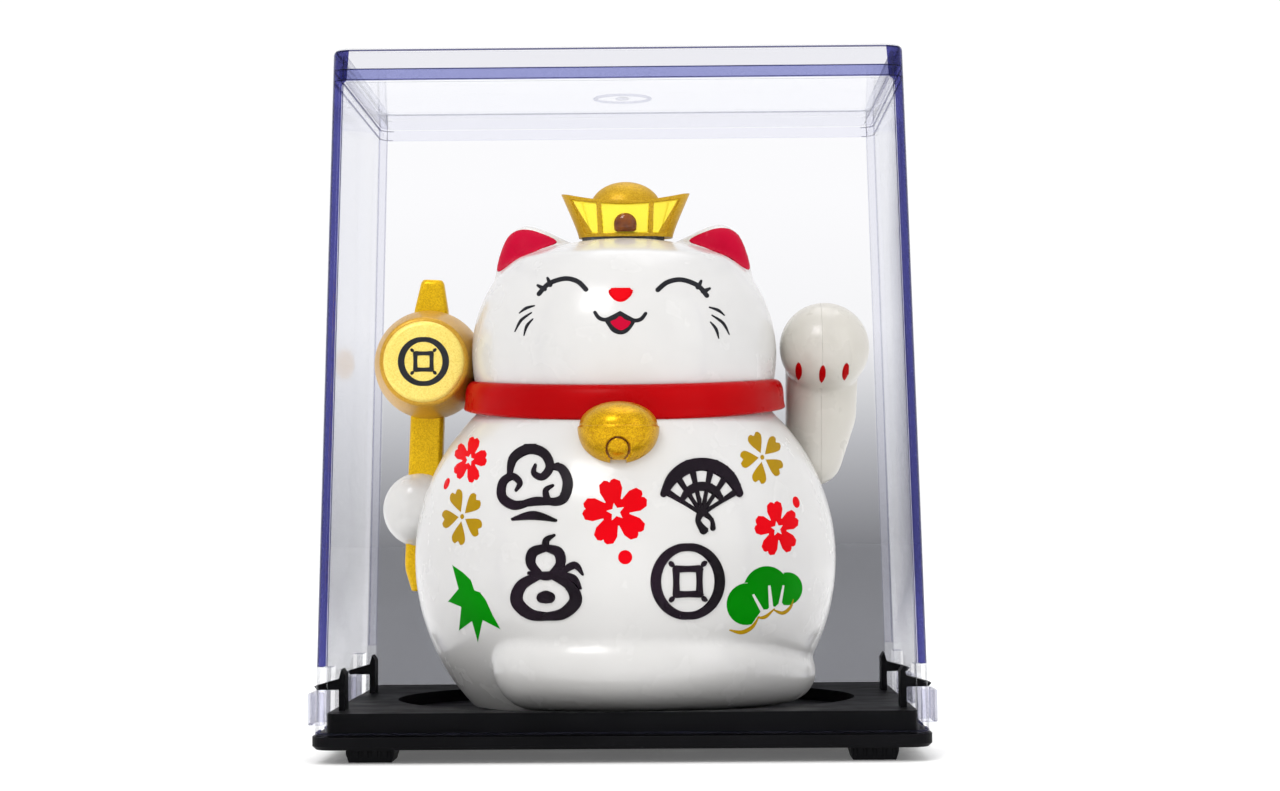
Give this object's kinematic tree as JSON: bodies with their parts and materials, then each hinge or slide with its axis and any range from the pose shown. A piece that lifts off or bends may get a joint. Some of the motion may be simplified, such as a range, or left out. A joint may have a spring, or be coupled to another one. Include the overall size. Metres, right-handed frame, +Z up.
{
  "type": "beckoning cat figurine in a clear display case",
  "caption": "Seated round-bodied lucky cat with a swinging raised paw, holding a gold mallet and wearing an ingot hat, on a black base under a clear lift-off hood.",
  "frame": {"origin": "centre of the case's footprint, on the surface that the feet stand on", "axes": "+Z up, the cat faces -Y, +X to the right of someone who looks at its face"},
  "size_m": [0.122, 0.102, 0.137],
  "materials": {
    "base_black": "satin black moulding",
    "foot_black": "matt black",
    "body_white": "warm white gloss",
    "arm_cream": "cream gloss",
    "collar_red": "deep red gloss",
    "gold": "gold plated",
    "gold_face": "bright gold",
    "ingot_yellow": "polished yellow gold",
    "gem_brown": "brown gloss",
    "print_black": "gloss black relief",
    "pad_grey": "matt",
    "cell_blue": "dark blue cell",
    "board_green": "green laminate",
    "can_blue": "sleeved can",
    "frame_white": "natural white",
    "copper": "enamelled winding",
    "bush_brass": "plain",
    "steel": "plain",
    "magnet": "nickel plated",
    "hood_clear": "clear moulded styrene, violet at the thick edges"
  },
  "bodies": {
    "case": {"case_base": "base_black", "case_feet": "foot_black", "figure_screws": "steel", "bottom_cover": "body_white", "front_shell": "body_white", "rear_shell": "body_white", "collar": "collar_red", "bell": "gold", "hat_pad": "pad_grey", "ingot_hat": "ingot_yellow", "hat_gem": "gem_brown", "left_paw": "body_white", "mallet_handle": "gold", "mallet_head": "gold", "mallet_face": "gold_face", "belly_emblems": "print_black", "solar_cell": "cell_blue", "circuit_board": "board_green", "storage_capacitor": "can_blue", "drive_frame": "frame_white", "frame_screws": "steel", "drive_coil": "copper", "axle_bushes": "bush_brass"},
    "arm": {"arm_axle": "steel", "pendulum_lever": "frame_white", "pendulum_magnet": "magnet", "arm_inner_half": "arm_cream", "arm_outer_half": "arm_cream"},
    "hood": {"hood": "hood_clear"}
  },
  "joints": [
    {"name": "arm_swing", "type": "hinge", "parent": "case", "child": "arm", "pos_m": [0.0392, 0.0105, 0.059], "axis": [1, 0, 0], "range_deg": [-12, 12]},
    {"name": "hood_lift", "type": "slide", "parent": "case", "child": "hood", "axis": [0, 0, 1], "range_m": [0, 0.135]}
  ]
}
